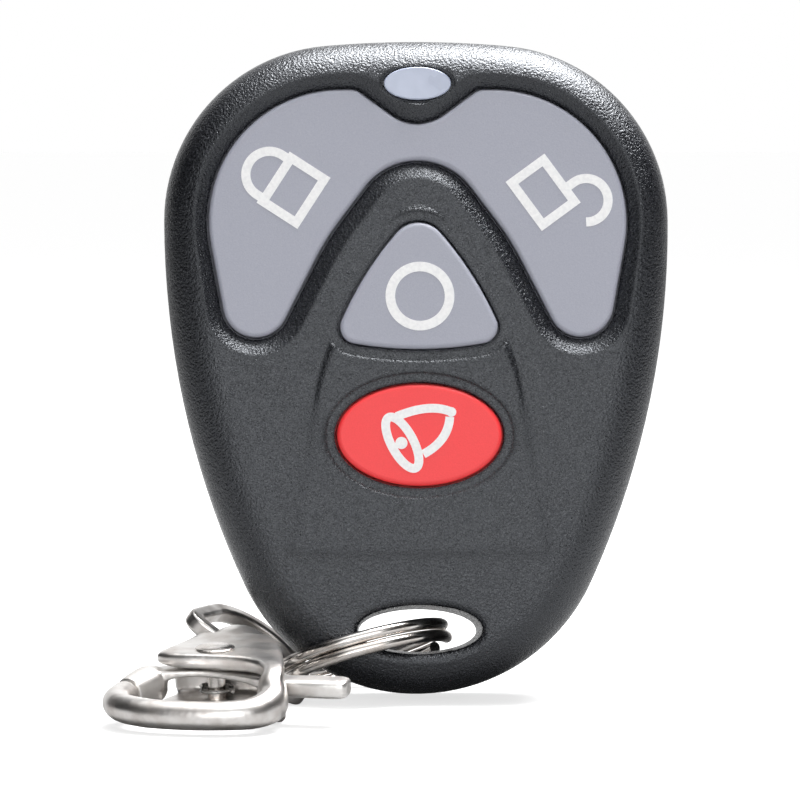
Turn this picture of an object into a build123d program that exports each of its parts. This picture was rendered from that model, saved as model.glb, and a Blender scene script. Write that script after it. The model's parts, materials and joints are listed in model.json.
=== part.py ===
from build123d import *
from math import acos, atan2, cos, degrees, radians, sin, sqrt
import os

# Four-function key fob for a gate, with a split ring and a swivel trigger clasp.
# Millimetres. The case stands on its lower end and leans back, its face towards -Y.
# The origin is the middle of the case. Case pieces are drawn in the case's own upright
# frame (X across, Z up the case, Y through it) and leaned back together at the end.

# Case. Places along it are shares of its length, so that the pieces move with its size.
case_length = 60.0
case_width = 46.4
case_depth = 13.5
lean_back = 7.5
top_arc_radius = 95.0
corner_radius = 16.2
nose_radius = 17.5
wall = 1.8
front_edge_round = 4.2
back_edge_round = 3.4
nose_thinning = 1.7
nose_thinning_start = -0.133 * case_length
lip_height = 0.8
lip_thickness = 0.8
lip_clearance = 0.1

# Ring hole through the lower end
hole_height = 5.8
hole_half_width = 5.4
hole_half_height = 1.95
hole_draft = 3.0
hole_rim_round = 0.7
solid_nose_height = 9.4

# Keys on the face
key_clearance = 0.22
key_edge_round = 0.4
key_flange = 0.8
key_flange_thickness = 0.6
key_flange_gap = 0.1
press_travel = 0.5
rock_angle = 1.3
rock_gap = 0.55
crescent_recess = 0.4
crescent_bevel_slope = 57.0
crescent_bevel_depth = 0.95
arch_radius = 6.0
arch_radius_centre = (0.0, 0.211 * case_length)
flank_radius = 24.0
flank_centre = (-12.0, -0.022 * case_length)
lobe_radius = 3.0
lobe_centre = (14.85, 0.091 * case_length)
corner_round = 12.1
corner_centre = (7.0, 0.2175 * case_length)
shoulder_radius = 1.4
shoulder_centre = (6.1, 0.396 * case_length)
dip_radius = 4.1
dip_centre = 0.435 * case_length
triangle_apex = 0.234 * case_length
triangle_base = 0.0367 * case_length
triangle_half_base = 7.75
triangle_side_bulge = 0.8
triangle_foot_bulge = 0.9
triangle_apex_round = 2.6
triangle_corner_round = 1.5
triangle_height_above_face = 0.3
triangle_surround_floor = 0.0
oval_half_width = 7.53
oval_half_height = 4.63
oval_centre = -0.109 * case_length
oval_height_above_face = 0.2
oval_surround_floor = -0.15
surround_width = 1.1
stem_diameter = 3.0

# Raised tongue that carries the triangle and the oval, and fades out below them
tongue_rise = 0.75
tongue_fade = -0.2 * case_length
tongue_edge_slope = 62.0
tongue_apex = 0.266 * case_length
tongue_apex_radius = 5.0
tongue_bulge = (-11.7, -0.118 * case_length, 24.0)
tongue_foot = (12.6, -0.3 * case_length, 2.0)

# Indicator window
window_half_width = 3.08
window_half_height = 1.52
window_centre = 0.428 * case_length
window_clearance = 0.12
window_rim = 0.38
window_rim_depth = 0.25
window_recess = 0.12
window_flange = 0.7
window_flange_thickness = 0.6
light_guide_share = 0.6
light_guide_gap = 0.4

# Circuit board and what it carries
board_thickness = 1.2
board_front = 0.4
board_inset = 3.4
board_bottom = -0.16 * case_length
switch_side = 4.6
switch_height = 2.6
plunger_diameter = 2.2
plunger_fit = 0.15
plunger_length = 2.0
plunger_out = 0.8
lock_switch = (12.4, 0.259 * case_length)
circle_switch = (0.0, 0.106 * case_length)
chip_size = (10.0, 4.0, 1.6)
chip_leg_pitch = 1.25
resonator_size = (5.0, 3.5, 1.5)
coil_turns = 5
coil_wire = 0.5
coil_gap = 0.45
coil_pitch = 0.9
coil_place = (-11.0, 0.233 * case_length)
chip_place = (4.0, 0.1 * case_length)
resonator_place = (-8.5, -0.033 * case_length)
led_size = (2.2, 1.4, 1.5)
led_drop = 1.0

# Battery, lying across below the board
battery_diameter = 8.0
battery_length = 0.47 * case_length
battery_height = -0.238 * case_length
battery_depth = 0.2
battery_button = 0.7
battery_button_diameter = 4.0
contact_thickness = 0.3
contact_gap = 0.1
contact_depth = 4.5
contact_height = 6.6
contact_tab = (1.6, 1.2)
spring_turns = 2.0
spring_wire = 0.35
spring_radius = 2.3
spring_length = 1.2

# Screws: one between the arch and the triangle, two beside the oval
screw_top = 0.264 * case_length
screw_side = (14.4, -0.103 * case_length)
screw_places = [(0.0, screw_top), (-screw_side[0], screw_side[1]), screw_side]
screw_diameter = 2.0
screw_fit = 0.03
screw_head_diameter = 3.5
screw_head_height = 1.3
screw_length = 8.0
screw_head_depth = 1.0
screw_clearance = 0.15
boss_diameter = 3.4
screw_well_wall = 0.9
boss_gap = 0.08

# Split ring: two turns side by side, with a crossover
ring_outer_diameter = 1.252 * case_depth
ring_wire = 1.1
ring_turn_gap = 0.06
ring_crossover = 40.0
ring_pass = (2.57, 0.9, -0.24)
ring_slope_side = 0.273
ring_slope_back = -0.27
ring_eye_angle = 197.6
ring_crossover_at = 12.0

# Swivel eye, a D of flattened bar with a riveted stem
eye_width = 13.1
eye_bar = 1.35
eye_thickness = 1.5
eye_depth = 10.4
eye_roll = 36.4
eye_side = 3.47
eye_reach = 2.45
stem_rivet = 2.6
rivet_head = 5.2
rivet_head_thickness = 1.0
swivel_gap = 0.2

# Claw, cast in one piece with the cup of the swivel
claw_yaw = 15.15
claw_pitch = 6.84
claw_back = 6.3
claw_front = 13.0
claw_half_width = 8.55
claw_front_round = 3.7
claw_back_half_width = 4.4
claw_back_round = 2.2
claw_thickness = 4.9
claw_bar = 3.0
claw_edge_round = 1.3
mouth_edge_round = 1.0
mouth_back = 2.0
mouth_half_width = 4.3
mouth_back_round = 1.4
mouth_front_half_width = 5.5
mouth_front_round = 2.5
slot_height = 1.9
slot_front = 5.6
slot_back = 3.1
nose_seam_radius = 10.25
nose_seam_outer = -9.5
shoulder_outer = (-12.0, -0.9)
shoulder_inner = (-4.2, -1.6)
gap_relief = 1.2
cup_diameter = 8.3
cup_wall = 0.65
cup_floor = 0.9
cup_depth = 2.6

# Gate lever, its pin and its spring
gate_thickness = 1.6
gate_seam = 0.1
gate_open_angle = 17.0
gate_hub_radius = 2.4
gate_arm = (-5.4, -4.4, 1.5)
tab_arm = (7.2, -3.7, 1.1)
tab_reach = 13.1
tab_root = 9.3
tab_depth = 2.8
tab_thickness = 1.75
tab_line = -3.8
pin_diameter = 2.0
pin_head_diameter = 3.4
pin_head_height = 0.35
pin_head_seat = 2.3
pin_fit = 0.05
gate_spring_radius = 1.45
gate_spring_wire = 0.3
gate_spring_turns = 1.5
gate_pocket_radius = 1.9
gate_pocket_depth = 0.85


# The case's outline: six tangent arcs, which an inset shrinks about the same centres

def outline_arcs(inset):
    """The top, corner, side and nose arcs of the case outline, moved inwards by inset."""
    half_width = case_width / 2
    top_centre = case_length / 2 - top_arc_radius
    nose_centre = nose_radius - case_length / 2
    corner_x = half_width - corner_radius
    widest = top_centre + sqrt((top_arc_radius - corner_radius) ** 2 - corner_x ** 2)
    rise = widest - nose_centre
    side_radius = (half_width ** 2 + rise ** 2 - nose_radius ** 2) / (2 * (half_width - nose_radius))
    side_x = half_width - side_radius
    top_angle = degrees(atan2(widest - top_centre, corner_x))
    nose_angle = degrees(atan2(nose_centre - widest, -side_x))
    return [
        CenterArc((0, top_centre), top_arc_radius - inset, top_angle, 180 - 2 * top_angle),
        CenterArc((-corner_x, widest), corner_radius - inset, 180 - top_angle, top_angle),
        CenterArc((-side_x, widest), side_radius - inset, 180, -nose_angle),
        CenterArc((0, nose_centre), nose_radius - inset, -180 - nose_angle, 180 + 2 * nose_angle),
        CenterArc((side_x, widest), side_radius - inset, nose_angle, -nose_angle),
        CenterArc((corner_x, widest), corner_radius - inset, 0, top_angle),
    ]


def case_outline(inset=0.0):
    return make_face(Wire(outline_arcs(inset)))


def slab(face, back, front):
    """A face drawn as (x, z), made solid from y = back to y = front, which is nearer."""
    plane = Plane(origin=(0, back, 0), x_dir=(1, 0, 0), z_dir=(0, -1, 0))
    return extrude(plane * face, amount=back - front)


def side_form(front_inset=0.0, back_inset=0.0):
    """The case seen from the side: flat above, thinner towards the nose, over the whole width."""
    half_length = case_length / 2 + 1
    front = -case_depth / 2 + front_inset
    back = case_depth / 2 - back_inset
    drop = nose_thinning_start + case_length / 2

    def thinned(z):
        return nose_thinning * ((nose_thinning_start - z) / drop) ** 2

    mid, low = (nose_thinning_start - half_length) / 2, -half_length
    edges = [
        Line((front, half_length), (front, nose_thinning_start)),
        ThreePointArc((front, nose_thinning_start), (front + thinned(mid), mid), (front + thinned(low), low)),
        Line((front + thinned(low), low), (back - thinned(low), low)),
        ThreePointArc((back - thinned(low), low), (back - thinned(mid), mid), (back, nose_thinning_start)),
        Line((back, nose_thinning_start), (back, half_length)),
        Line((back, half_length), (front, half_length)),
    ]
    side = Plane(origin=(-case_width, 0, 0), x_dir=(0, 1, 0), z_dir=(1, 0, 0)) * make_face(Wire(edges))
    return extrude(side, amount=2 * case_width)


def rounded_case():
    """The whole outside of the case, before it is split, hollowed and opened."""
    block = slab(case_outline(), case_depth, -case_depth) & side_form()
    front_rim = [e for e in block.edges() if e.center().Y < -case_depth / 4]
    block = fillet(front_rim, front_edge_round)
    back_rim = [e for e in block.edges() if e.center().Y > case_depth / 2 - nose_thinning - 0.2
                and e.length > case_width / 6]
    return fillet(back_rim, back_edge_round)


# Outlines on the face, as (x, z)

def belt(rounds, grow=0.0):
    """A closed outline that runs round circles (x, z, radius), counter-clockwise, on tangent lines.

    A negative radius is a hollow, which the outline passes on its inner side. To grow the
    outline, every bulge gets a larger radius and every hollow a smaller one."""
    circles = [(Vector(x, z), r + grow) for x, z, r in rounds]
    normals = []
    for (here, r), (there, s) in zip(circles, circles[1:] + circles[:1]):
        across = there - here
        normals.append(degrees(atan2(across.Y, across.X)) - degrees(acos((r - s) / across.length)))
    edges = []
    for i, (centre, r) in enumerate(circles):
        turn = (normals[i] - normals[i - 1]) % 360 - (360 if r < 0 else 0)
        start = normals[i - 1] + (180 if r < 0 else 0)
        edges.append(CenterArc((centre.X, centre.Y), abs(r), start, turn))
    joined = []
    for arc, after in zip(edges, edges[1:] + edges[:1]):
        joined += [arc, Line(arc @ 1, after @ 0)]
    return make_face(Wire(joined))


def crescent_outline(grow=0.0):
    """Lock and unlock lobes, joined by an arch under the indicator window."""
    right = [(arch_radius_centre[0], arch_radius_centre[1], -arch_radius),
             (flank_centre[0], flank_centre[1], -flank_radius),
             (lobe_centre[0], lobe_centre[1], lobe_radius),
             (corner_centre[0], corner_centre[1], corner_round),
             (shoulder_centre[0], shoulder_centre[1], shoulder_radius)]
    left = [(-x, z, r) for x, z, r in reversed(right[1:])]
    dip = (0, dip_centre, -dip_radius)
    return belt(right + [dip] + left, grow)


def triangle_outline():
    """A triangle with gently bulged sides and rounded corners."""
    apex = Vector(0, triangle_apex)
    right, left = Vector(triangle_half_base, triangle_base), Vector(-triangle_half_base, triangle_base)
    slope = (right - apex).normalized()
    side_mid = (apex + right) / 2 + Vector(-slope.Y, slope.X) * triangle_side_bulge
    face = make_face(Wire([ThreePointArc(apex, side_mid, right),
                           ThreePointArc(right, (0, triangle_base - triangle_foot_bulge), left),
                           ThreePointArc(left, (-side_mid.X, side_mid.Y), apex)]))
    corners = face.vertices().sort_by(Axis.Y)
    face = fillet(corners[-1], triangle_apex_round)
    corners = face.vertices().group_by(Axis.Y)[0]
    return fillet(corners, triangle_corner_round)


def oval_outline(grow=0.0):
    return Pos(0, oval_centre) * Ellipse(oval_half_width + grow, oval_half_height + grow)


def window_outline(grow=0.0):
    return Pos(0, window_centre) * Ellipse(window_half_width + grow, window_half_height + grow)


def tongue():
    """The raised panel: a slab with sloping edges, tipped so that it sinks into the face below."""
    x, z, radius = tongue_bulge
    foot_x, foot_z, foot_radius = tongue_foot
    edge = belt([(foot_x, foot_z, foot_radius), (x, z, radius),
                 (0, tongue_apex - tongue_apex_radius, tongue_apex_radius),
                 (-x, z, radius), (-foot_x, foot_z, foot_radius)])
    raised = extrude(Plane.XZ * edge, amount=2 * tongue_rise, taper=tongue_edge_slope)
    tip = degrees(atan2(tongue_rise, tongue_apex - tongue_fade))
    tipped = Rot(tip, 0, 0) * Pos(0, 2 * tongue_rise, -tongue_fade) * raised
    return Pos(0, -case_depth / 2, tongue_fade) * tipped


# Shells

def hole_cutter():
    """The ring hole: narrowest halfway through, with the draft that the mould needs."""
    middle = Plane.XZ * Pos(0, hole_height - case_length / 2) * Ellipse(hole_half_width, hole_half_height)
    near = extrude(middle, amount=case_depth, taper=-hole_draft)
    return near + near.mirror(Plane.XZ)


def bored_case():
    """The outside of the case with its tongue and the ring hole, whose rims are rounded."""
    case = rounded_case() + tongue() - hole_cutter()
    lowest = hole_height - case_length / 2 - 2 * hole_half_height
    rims = [e for e in case.edges()
            if abs(e.center().Y) > case_depth / 2 - nose_thinning
            and lowest < e.center().Z < lowest + 4 * hole_half_height
            and e.bounding_box().max.X < hole_half_width + 1 and e.bounding_box().min.X > -hole_half_width - 1]
    return fillet(rims, hole_rim_round)


def cavity():
    """The space inside the shells, above the solid nose that holds the ring."""
    room = slab(case_outline(wall), case_depth, -case_depth) & side_form(wall, wall)
    return room & Pos(0, 0, solid_nose_height) * Box(case_width, case_depth, case_length)


def lip_ring(clearance):
    """The raised inner edge at the parting line, which the back shell fits over."""
    outer = slab(case_outline(wall - lip_thickness - clearance), lip_height + clearance, 0)
    inner = slab(case_outline(wall + clearance), lip_height + clearance, 0)
    above_nose = Pos(0, 0, solid_nose_height) * Box(case_width, case_depth, case_length)
    return (outer - inner) & above_nose


def crescent_well():
    """The opening of the crescent key, whose upper wall leans outwards."""
    floor = crescent_bevel_depth - case_depth / 2
    face = Plane(origin=(0, floor, 0), x_dir=(1, 0, 0), z_dir=(0, -1, 0)) * crescent_outline(key_clearance)
    bevel = extrude(face, amount=crescent_bevel_depth + 0.3, taper=-crescent_bevel_slope)
    return bevel + slab(crescent_outline(key_clearance), 0, floor - 0.05)


def front_shell(case):
    """The face of the case: hollow, with wells for the keys and the window, and screw bosses."""
    face = -case_depth / 2
    shell = case & slab(case_outline(-1), 0, 2 * face)
    shell = shell - cavity() + lip_ring(0)
    for x, z in screw_places:
        shell += slab(Pos(x, z) * Circle(boss_diameter / 2), board_front - boss_gap, face + wall / 2)
    shell -= crescent_well()
    triangle, oval = triangle_outline(), oval_outline(key_clearance)
    shell -= slab(offset(triangle, amount=key_clearance), 0, 2 * face)
    shell -= slab(offset(triangle, amount=surround_width), face - triangle_surround_floor, 2 * face)
    shell -= slab(oval, 0, 2 * face)
    shell -= slab(oval_outline(surround_width), face - oval_surround_floor, 2 * face)
    shell -= slab(window_outline(window_clearance), 0, 2 * face)
    shell -= slab(window_outline(window_rim), face + window_rim_depth, 2 * face)
    for x, z in screw_places:
        shell -= slab(Pos(x, z) * Circle(screw_diameter / 2 + screw_fit), board_front, face + wall)
    return shell


def back_shell(case):
    """The back of the case: hollow, with the wells of the three screws."""
    back = case_depth / 2
    shell = case & slab(case_outline(-1), 2 * back, 0)
    shell = shell - cavity() - lip_ring(lip_clearance)
    well = screw_head_diameter / 2 + screw_clearance
    seat = back - screw_head_depth - screw_head_height
    behind_board = board_front + board_thickness + boss_gap
    for x, z in screw_places:
        shell += slab(Pos(x, z) * Circle(well + screw_well_wall), back - wall / 2, behind_board)
    for x, z in screw_places:
        shell -= slab(Pos(x, z) * Circle(well), 2 * back, seat)
        shell -= slab(Pos(x, z) * Circle(screw_diameter / 2 + screw_clearance), seat + 1, 0)
    return shell + battery_cradle()


def battery_cradle():
    """Two ribs on the back wall with a round seat for the battery."""
    ribs = Part()
    for side in (-1, 1):
        block = Pos(side * battery_length / 4, battery_depth + battery_diameter / 2, battery_height) * Box(
            wall, battery_diameter * 0.75, battery_diameter * 0.8)
        ribs += block
    ribs &= slab(case_outline(wall - 0.1), case_depth, 0) & side_form(wall - 0.1, wall - 0.1)
    round_seat = Pos(0, battery_depth, battery_height) * Rot(0, 90, 0) * Cylinder(
        battery_diameter / 2 + contact_gap, battery_length)
    return ribs - round_seat


def screws():
    """Three pan-head screws from the back, drawn plain, with a cross recess."""
    seat = case_depth / 2 - screw_head_depth - screw_head_height
    cross = (Box(screw_head_diameter * 0.6, screw_head_height, 0.5)
             + Box(0.5, screw_head_height, screw_head_diameter * 0.6))
    group = []
    for x, z in screw_places:
        head = slab(Pos(x, z) * Circle(screw_head_diameter / 2), seat + screw_head_height, seat)
        head = fillet(head.edges().group_by(Axis.Y)[-1], screw_head_height / 3)
        shank = slab(Pos(x, z) * Circle(screw_diameter / 2), seat, seat - screw_length)
        shank = chamfer(shank.edges().group_by(Axis.Y)[0], screw_diameter / 5)
        group.append(head + shank - Pos(x, seat + screw_head_height, z) * cross)
    return Compound(group)


# Keys, window and plungers

def plunger_top():
    """Where a switch plunger meets the stem of its key."""
    return board_front - switch_height - plunger_out


def key(outline, flange, top, flange_top, stems):
    """A key cap with rounded edges, the flange that keeps it in and a stem over each switch."""
    cap = slab(outline, flange_top, top)
    cap = fillet(cap.edges().group_by(Axis.Y)[0], key_edge_round)
    cap += slab(flange, flange_top + key_flange_thickness, flange_top)
    for x, z in stems:
        cap += slab(Pos(x, z) * Circle(stem_diameter / 2), plunger_top(), flange_top)
    return cap


def lock_places():
    x, z = lock_switch
    return [(-x, z), (x, z)]


def lock_unlock_key():
    inner = wall - case_depth / 2
    return key(crescent_outline(), crescent_outline(key_flange), crescent_recess - case_depth / 2,
               inner + rock_gap, lock_places())


def circle_key():
    inner = wall - case_depth / 2
    outline = triangle_outline()
    return key(outline, offset(outline, amount=key_flange), -case_depth / 2 - triangle_height_above_face,
               inner + key_flange_gap, [circle_switch])


def alarm_key():
    inner = wall - case_depth / 2
    return key(oval_outline(), oval_outline(key_flange), -case_depth / 2 - oval_height_above_face,
               inner + key_flange_gap, [(0, oval_centre)])


def plungers(places):
    """The moving buttons of the tact switches under one key."""
    top = plunger_top()
    return Compound([slab(Pos(x, z) * Circle(plunger_diameter / 2), top + plunger_length, top)
                     for x, z in places])


def indicator_window():
    """A frosted oval window with a flange behind the face and a light guide down to the lamp."""
    face = -case_depth / 2
    pane = slab(window_outline(), face + wall + key_flange_gap, face + window_recess)
    pane = fillet(pane.edges().group_by(Axis.Y)[0], window_recess)
    flange_back = face + wall + key_flange_gap + window_flange_thickness
    flange = window_outline(window_flange) & case_outline(wall + key_flange_gap)
    pane += slab(flange, flange_back, face + wall + key_flange_gap)
    guide = Pos(0, window_centre - led_drop) * Ellipse(window_half_width * light_guide_share,
                                                       window_half_height * light_guide_share)
    return pane + slab(guide, board_front - led_size[2] - light_guide_gap, flange_back - 0.1)


# Board

def board():
    """The circuit board: the case outline, cut off above the battery, with screw holes."""
    back = board_front + board_thickness
    plate = slab(case_outline(board_inset), back, board_front)
    plate &= Pos(0, 0, board_bottom + case_length / 2) * Box(case_width, case_depth, case_length)
    for x, z in screw_places:
        plate -= slab(Pos(x, z) * Circle(screw_diameter / 2 + screw_clearance), case_depth, -case_depth)
    return plate


def switch_places():
    return lock_places() + [circle_switch, (0, oval_centre)]


def tact_switches():
    """Four square switches with a round mouth for the plunger."""
    group = []
    for x, z in switch_places():
        body = slab(Pos(x, z) * Rectangle(switch_side, switch_side), board_front, board_front - switch_height)
        body = chamfer(body.edges().filter_by(Axis.Y), switch_side / 12)
        bore = slab(Pos(x, z) * Circle(plunger_diameter / 2 + plunger_fit),
                    plunger_top() + plunger_length + press_travel + plunger_fit, -case_depth)
        group.append(body - bore)
    return Compound(group)


def on_board_back(place, size):
    """A small component soldered on the back of the board."""
    x, z = place
    width, height, thickness = size
    back = board_front + board_thickness
    return Pos(x, back + thickness / 2, z) * Box(width, thickness, height)


def indicator_lamp():
    width, height, thickness = led_size
    place = Pos(0, board_front - thickness / 2, window_centre - led_drop)
    lamp = place * Box(width, thickness, height)
    return fillet(lamp.edges().group_by(Axis.Y)[0], thickness / 6)


def encoder_chip():
    """The code chip, with its two rows of legs."""
    width, height, thickness = chip_size
    x, z = chip_place
    back = board_front + board_thickness
    body = Pos(0, 0.15, 0) * on_board_back(chip_place, (width, height, thickness - 0.3))
    chip = chamfer(body.edges().group_by(Axis.Y)[-1], 0.2)
    legs = int(width / chip_leg_pitch)
    for i in range(legs):
        across = x + (i - (legs - 1) / 2) * width / legs
        for side in (-1, 1):
            chip += Pos(across, back + thickness / 4, z + side * (height / 2 + 0.35)) * Box(
                width / legs / 3, thickness / 2, 0.9)
    return chip


def coil(radius, wire, height, turns):
    """A helical coil about +Z, of round wire."""
    path = Helix(pitch=height / turns, height=height, radius=radius)
    return sweep(Plane(origin=path @ 0, z_dir=path % 0) * Circle(wire / 2), path=path, is_frenet=True)


def antenna_coil():
    x, z = coil_place
    length = coil_pitch * coil_turns
    board_back = board_front + board_thickness
    radius = (case_depth / 2 - wall - board_back - coil_wire - coil_gap) / 2
    back = board_back + radius + coil_wire / 2
    return Pos(x - length / 2, back, z) * Rot(0, 90, 0) * coil(radius, coil_wire, length, coil_turns)


# Battery and its contacts, which stand at the ends of the battery

def battery_middle():
    """The battery sits off the middle by half of what the spring needs more than the button's end."""
    return (spring_length - contact_gap) / 2


def battery():
    """A small 12 V cell with a positive button at the right."""
    can_length = battery_length - battery_button
    left = battery_middle() - battery_length / 2
    can = Pos(left + can_length / 2, battery_depth, battery_height) * Rot(0, 90, 0) * Cylinder(
        battery_diameter / 2, can_length)
    can = fillet(can.edges().filter_by(GeomType.CIRCLE), battery_diameter / 16)
    button = Cylinder(battery_button_diameter / 2, battery_button)
    button_middle = left + can_length + battery_button / 2
    button = Pos(button_middle, battery_depth, battery_height) * Rot(0, 90, 0) * button
    return can + button


def contact(side):
    """A flat plate at one end of the battery, with a tab soldered to the back of the board."""
    inner = battery_middle() + side * (battery_length / 2 + (contact_gap if side > 0 else spring_length))
    tab_width, tab_height = contact_tab
    board_back = board_front + board_thickness
    depth = contact_depth
    middle = inner + side * contact_thickness / 2
    front = board_back + contact_thickness - depth
    plate = Pos(middle, front + depth / 2, board_bottom - 0.15 - contact_height / 2) * Box(
        contact_thickness, depth, contact_height)
    tab = Pos(inner + side * (contact_thickness - tab_width / 2), board_back + contact_thickness / 2,
              board_bottom - 0.7 + tab_height / 2) * Box(tab_width, contact_thickness, tab_height)
    return plate + tab


def spring_contact():
    """The negative contact, with its coil spring pressed against the can."""
    left = battery_middle() - battery_length / 2 - spring_length
    turns_height = spring_length - spring_wire
    spring = Pos(left + spring_wire / 2, battery_depth, battery_height) * Rot(0, 90, 0) * coil(
        spring_radius, spring_wire, turns_height - contact_gap / 2, spring_turns)
    return contact(-1) + spring


# Split ring

def leaned(shape):
    return Rot(-lean_back, 0, 0) * shape


def ring_plane():
    """Where the ring lies: its right end passes through the hole, and it slopes left and back."""
    hole = leaned(Vertex(0, 0, hole_height - case_length / 2)).center()
    right = Vector(1, 0, ring_slope_side).normalized()
    up = Vector(-ring_slope_side, -ring_slope_back, 1).normalized()
    centre = hole + Vector(*ring_pass) - right * ring_radius()
    return Plane(origin=centre, x_dir=right, z_dir=up)


def ring_radius():
    return (ring_outer_diameter - ring_wire) / 2


def split_ring():
    """Wire wound twice round: one turn above the other, and a short crossover between them."""
    radius, level = ring_radius(), (ring_wire + ring_turn_gap) / 2
    half = ring_crossover / 2
    turn = revolve(Plane.XZ * Pos(radius, 0) * Circle(ring_wire / 2), Axis.Z, 360 - ring_crossover)
    lower = Pos(0, 0, -level) * Rot(0, 0, half) * turn
    upper = Pos(0, 0, level) * Rot(0, 0, half) * turn
    start = Vector(radius, 0, -level).rotate(Axis.Z, -half)
    end = Vector(radius, 0, level).rotate(Axis.Z, half)
    along = Vector(0, 1, 0)
    path = Spline(start, Vector(radius, 0, 0), end,
                  tangents=[along.rotate(Axis.Z, -half), along.rotate(Axis.Z, half)])
    crossing = sweep(Plane(origin=start, z_dir=path % 0) * Circle(ring_wire / 2), path=path)
    return ring_plane().location * Rot(0, 0, ring_crossover_at) * (lower + upper + crossing)


# Clasp, drawn lying flat: the tip towards -Y, the gate on the left, the pin at the origin

def swivel_back():
    """How far behind the pin the back of the cup is."""
    return claw_back - 1.1 + cup_depth + cup_floor


def claw_turn():
    return Rot(0, 0, -claw_yaw) * Rot(claw_pitch, 0, 0)


def claw_place():
    """The pin's place, worked out from the point where the ring runs through the eye."""
    plane = ring_plane()
    angle = radians(ring_eye_angle)
    through = plane.origin + (plane.x_dir * cos(angle) + plane.y_dir * sin(angle)) * ring_radius()
    reach = swivel_back() + swivel_gap + eye_bar + eye_reach
    offset_point = claw_turn() * Rot(0, eye_roll, 0) * Vertex(eye_side, reach, 0)
    return Pos(*(through - offset_point.center())) * claw_turn()


def claw_outline(grow=0.0):
    front_x = claw_half_width - claw_front_round
    back_x = claw_back_half_width - claw_back_round
    front, back = claw_front_round - claw_front, claw_back - claw_back_round
    return belt([(-front_x, front, claw_front_round), (front_x, front, claw_front_round),
                 (back_x, back, claw_back_round), (-back_x, back, claw_back_round)], grow)


def mouth_outline():
    front = claw_bar - claw_front + mouth_front_round
    back = -mouth_back - mouth_back_round
    front_x = mouth_front_half_width - mouth_front_round
    back_x = mouth_half_width - mouth_back_round
    return belt([(-front_x, front, mouth_front_round), (front_x, front, mouth_front_round),
                 (back_x, back, mouth_back_round), (-back_x, back, mouth_back_round)])


def claw_side():
    """The claw seen from the side: thick over the pin, down to the bar's thickness at the tip."""
    thick, thin = claw_thickness / 2, claw_bar / 2
    top = Spline((-claw_front - 1, thin), (-claw_front * 0.68, thin), (-mouth_back, thick * 0.96),
                 (claw_back / 4, thick), (claw_back + 1, thick * 0.9), tangents=[(1, 0), (1, -0.08)])
    ends = [Line((claw_back + 1, thick * 0.9), (claw_back + 1, -thick * 0.9)),
            Line((-claw_front - 1, -thin), (-claw_front - 1, thin))]
    face = make_face(Wire([top, ends[0], top.mirror(Plane.XZ), ends[1]]))
    side = Plane(origin=(-claw_front, 0, 0), x_dir=(0, 1, 0), z_dir=(1, 0, 0)) * face
    return extrude(side, amount=2 * claw_front)


def claw_form():
    """The claw's outside before it is opened, with all its edges rounded."""
    block = extrude(claw_outline(), amount=claw_thickness, both=True) & claw_side()
    rim = [e for e in block.edges() if abs(e.center().Z) > claw_bar / 4]
    return fillet(rim, claw_edge_round)


def seam_point(x):
    return (x, -sqrt(nose_seam_radius ** 2 - x ** 2))


def gate_gap(inner, shrink=0.0):
    """The stretch of the loop that the gate closes, seen from above, as far in as x = inner.

    It ends at the nose in an arc about the pin, so that the gate swings clear of the nose."""
    outer = nose_seam_outer
    seam = ThreePointArc(seam_point(inner), seam_point((inner + outer) / 2), seam_point(outer))
    sides = Polyline(seam_point(outer), (shoulder_outer[0], seam_point(outer)[1]), shoulder_outer,
                     (inner, shoulder_inner[1]), seam_point(inner))
    face = make_face(Wire([seam] + list(sides.edges())))
    if shrink:
        face = offset(face, amount=-shrink)
    return extrude(face, amount=claw_thickness, both=True)


def cup():
    """The round cup behind the claw, open towards it, in which the rivet head turns."""
    back = swivel_back()
    length = cup_depth + cup_floor
    outside = Cylinder(cup_diameter / 2, length)
    outside = fillet(outside.edges().filter_by(GeomType.CIRCLE), cup_wall / 2.5)
    inside = Pos(0, 0, cup_floor) * Cylinder(cup_diameter / 2 - cup_wall, length)
    bore = Cylinder(stem_rivet / 2 + swivel_gap, 2 * length)
    return Pos(0, back - length / 2, 0) * Rot(90, 0, 0) * (outside - inside - bore)


def claw_casting():
    """Hook, body and cup in one casting, with the slot for the gate lever and the pin's bore."""
    form = claw_form()
    mouth = extrude(mouth_outline(), amount=claw_thickness, both=True)
    claw = form - mouth
    rim = [e for e in claw.edges() if abs(e.center().Z) > claw_bar / 4
           and inside_mouth(e.center())]
    claw = fillet(rim, mouth_edge_round)
    claw -= gate_gap(shoulder_inner[0] + gap_relief)
    slot_length = slot_front + slot_back
    claw -= Pos(0, (slot_back - slot_front) / 2, 0) * Box(4 * claw_half_width, slot_length, slot_height)
    claw += cup()
    claw -= Cylinder(pin_diameter / 2 + pin_fit, 2 * claw_thickness)
    for side in (-1, 1):
        claw -= Pos(0, 0, side * (pin_head_seat + claw_thickness / 2)) * Cylinder(
            pin_head_diameter / 2 + pin_fit, claw_thickness)
    return claw


def inside_mouth(point):
    """Whether an edge of the opened claw belongs to its mouth and not to its outside."""
    return (abs(point.X) < mouth_front_half_width + 0.3
            and -claw_front + claw_bar - 0.3 < point.Y < -mouth_back + 0.3)


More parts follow.
